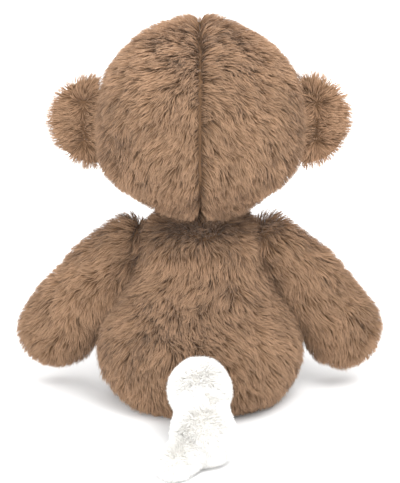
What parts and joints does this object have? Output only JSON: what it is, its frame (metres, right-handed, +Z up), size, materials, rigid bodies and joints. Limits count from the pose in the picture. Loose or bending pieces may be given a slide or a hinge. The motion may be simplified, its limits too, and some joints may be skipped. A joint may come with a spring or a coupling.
{
  "type": "stuffed monkey",
  "caption": "Seated plush monkey with long brown pile, round ears, soft arms and legs, and a short-pile white tail that curls on the floor behind it; every limb bends softly.",
  "frame": {"origin": "middle of the seat's flat face, on the floor", "axes": "+Z up, the face looks along -Y, the toy's own left arm is on +X"},
  "size_m": [0.221, 0.2865, 0.2395],
  "materials": {
    "brown_pile": "long soft pile",
    "white_pile": "short dense pile",
    "cream_pile": "short pile",
    "fibre_stuffing": "loose polyester fibre",
    "bag_cloth": "plain weave",
    "plastic_pellets": "satin",
    "eye_plastic": "gloss",
    "washer_plastic": "satin",
    "dark_thread": "embroidery thread"
  },
  "bodies": {
    "torso": {"torso_back_left": "brown_pile", "torso_back_right": "brown_pile", "torso_belly": "brown_pile", "torso_seat": "brown_pile", "torso_stuffing": "fibre_stuffing", "bean_bag": "bag_cloth", "bean_bag_pellets": "plastic_pellets"},
    "neck": {"neck_skin": "brown_pile", "neck_stuffing": "fibre_stuffing"},
    "head": {"head_back_left": "brown_pile", "head_back_right": "brown_pile", "head_front": "brown_pile", "face_panel": "cream_pile", "head_stuffing": "fibre_stuffing", "muzzle": "cream_pile", "nose": "dark_thread", "mouth_stitching": "dark_thread", "left_eye": "eye_plastic", "right_eye": "eye_plastic", "left_eye_washer": "washer_plastic", "right_eye_washer": "washer_plastic"},
    "tail_base": {"tail_base_wad": "fibre_stuffing"},
    "tail_root": {"tail_root_skin": "white_pile", "tail_root_stuffing": "fibre_stuffing"},
    "tail_middle": {"tail_middle_skin": "white_pile", "tail_middle_stuffing": "fibre_stuffing"},
    "tail_tip": {"tail_tip_skin": "white_pile", "tail_tip_stuffing": "fibre_stuffing"},
    "left_ear": {"left_ear_back": "brown_pile", "left_ear_lining": "cream_pile"},
    "left_shoulder": {"left_shoulder_wad": "fibre_stuffing"},
    "left_arm": {"left_arm_outer": "brown_pile", "left_arm_inner": "brown_pile", "left_arm_stuffing": "fibre_stuffing"},
    "left_hip": {"left_hip_wad": "fibre_stuffing"},
    "left_leg": {"left_leg_upper": "brown_pile", "left_leg_lower": "brown_pile", "left_sole": "cream_pile", "left_leg_stuffing": "fibre_stuffing"},
    "right_ear": {"right_ear_back": "brown_pile", "right_ear_lining": "cream_pile"},
    "right_shoulder": {"right_shoulder_wad": "fibre_stuffing"},
    "right_arm": {"right_arm_outer": "brown_pile", "right_arm_inner": "brown_pile", "right_arm_stuffing": "fibre_stuffing"},
    "right_hip": {"right_hip_wad": "fibre_stuffing"},
    "right_leg": {"right_leg_upper": "brown_pile", "right_leg_lower": "brown_pile", "right_sole": "cream_pile", "right_leg_stuffing": "fibre_stuffing"}
  },
  "joints": [
    {"name": "neck_turn", "type": "hinge", "parent": "torso", "child": "neck", "pos_m": [0, 0, 0.1245], "axis": [0, 0, 1], "range_deg": [-60, 60], "stiffness_Nm_per_rad": 0.12},
    {"name": "head_nod", "type": "hinge", "parent": "neck", "child": "head", "pos_m": [0, 0, 0.1245], "axis": [1, 0, 0], "range_deg": [-15, 18], "stiffness_Nm_per_rad": 1.5},
    {"name": "left_ear_fold", "type": "hinge", "parent": "head", "child": "left_ear", "pos_m": [0.059, -0.007, 0.178], "axis": [0, 0, 1], "range_deg": [-28, 28], "stiffness_Nm_per_rad": 0.03},
    {"name": "left_arm_swing", "type": "hinge", "parent": "torso", "child": "left_shoulder", "pos_m": [0.0432, 0, 0.104], "axis": [1, 0, 0], "range_deg": [-75, 0], "stiffness_Nm_per_rad": 0.25},
    {"name": "left_arm_raise", "type": "hinge", "parent": "left_shoulder", "child": "left_arm", "pos_m": [0.0432, 0, 0.104], "axis": [0, 1, 0], "range_deg": [-60, 0], "stiffness_Nm_per_rad": 0.25},
    {"name": "left_leg_lift", "type": "hinge", "parent": "torso", "child": "left_hip", "pos_m": [0.0275, -0.057, 0.022], "axis": [1, 0, 0], "range_deg": [-16, 0], "stiffness_Nm_per_rad": 0.2},
    {"name": "left_leg_spread", "type": "hinge", "parent": "left_hip", "child": "left_leg", "pos_m": [0.0275, -0.057, 0.022], "axis": [0, 0, 1], "range_deg": [-6, 12], "stiffness_Nm_per_rad": 0.1},
    {"name": "right_ear_fold", "type": "hinge", "parent": "head", "child": "right_ear", "pos_m": [-0.059, -0.007, 0.178], "axis": [0, 0, 1], "range_deg": [-28, 28], "stiffness_Nm_per_rad": 0.03},
    {"name": "right_arm_swing", "type": "hinge", "parent": "torso", "child": "right_shoulder", "pos_m": [-0.0432, 0, 0.104], "axis": [1, 0, 0], "range_deg": [-75, 0], "stiffness_Nm_per_rad": 0.25},
    {"name": "right_arm_raise", "type": "hinge", "parent": "right_shoulder", "child": "right_arm", "pos_m": [-0.0432, 0, 0.104], "axis": [0, 1, 0], "range_deg": [0, 60], "stiffness_Nm_per_rad": 0.25},
    {"name": "right_leg_lift", "type": "hinge", "parent": "torso", "child": "right_hip", "pos_m": [-0.0275, -0.057, 0.022], "axis": [1, 0, 0], "range_deg": [-16, 0], "stiffness_Nm_per_rad": 0.2},
    {"name": "right_leg_spread", "type": "hinge", "parent": "right_hip", "child": "right_leg", "pos_m": [-0.0275, -0.057, 0.022], "axis": [0, 0, 1], "range_deg": [-12, 6], "stiffness_Nm_per_rad": 0.1},
    {"name": "tail_lift", "type": "hinge", "parent": "torso", "child": "tail_base", "pos_m": [0, 0.064, 0.032], "axis": [1, 0, 0], "range_deg": [0, 20], "stiffness_Nm_per_rad": 0.15},
    {"name": "tail_wag", "type": "hinge", "parent": "tail_base", "child": "tail_root", "pos_m": [0, 0.064, 0.032], "axis": [0, 0, 1], "range_deg": [-20, 20], "stiffness_Nm_per_rad": 0.08},
    {"name": "tail_middle_curl", "type": "hinge", "parent": "tail_root", "child": "tail_middle", "pos_m": [-0.001, 0.104, 0.0252], "axis": [0, 0, 1], "range_deg": [-20, 20], "stiffness_Nm_per_rad": 0.05},
    {"name": "tail_tip_curl", "type": "hinge", "parent": "tail_middle", "child": "tail_tip", "pos_m": [0.008, 0.1395, 0.0115], "axis": [0, 0, 1], "range_deg": [-20, 20], "stiffness_Nm_per_rad": 0.02}
  ]
}
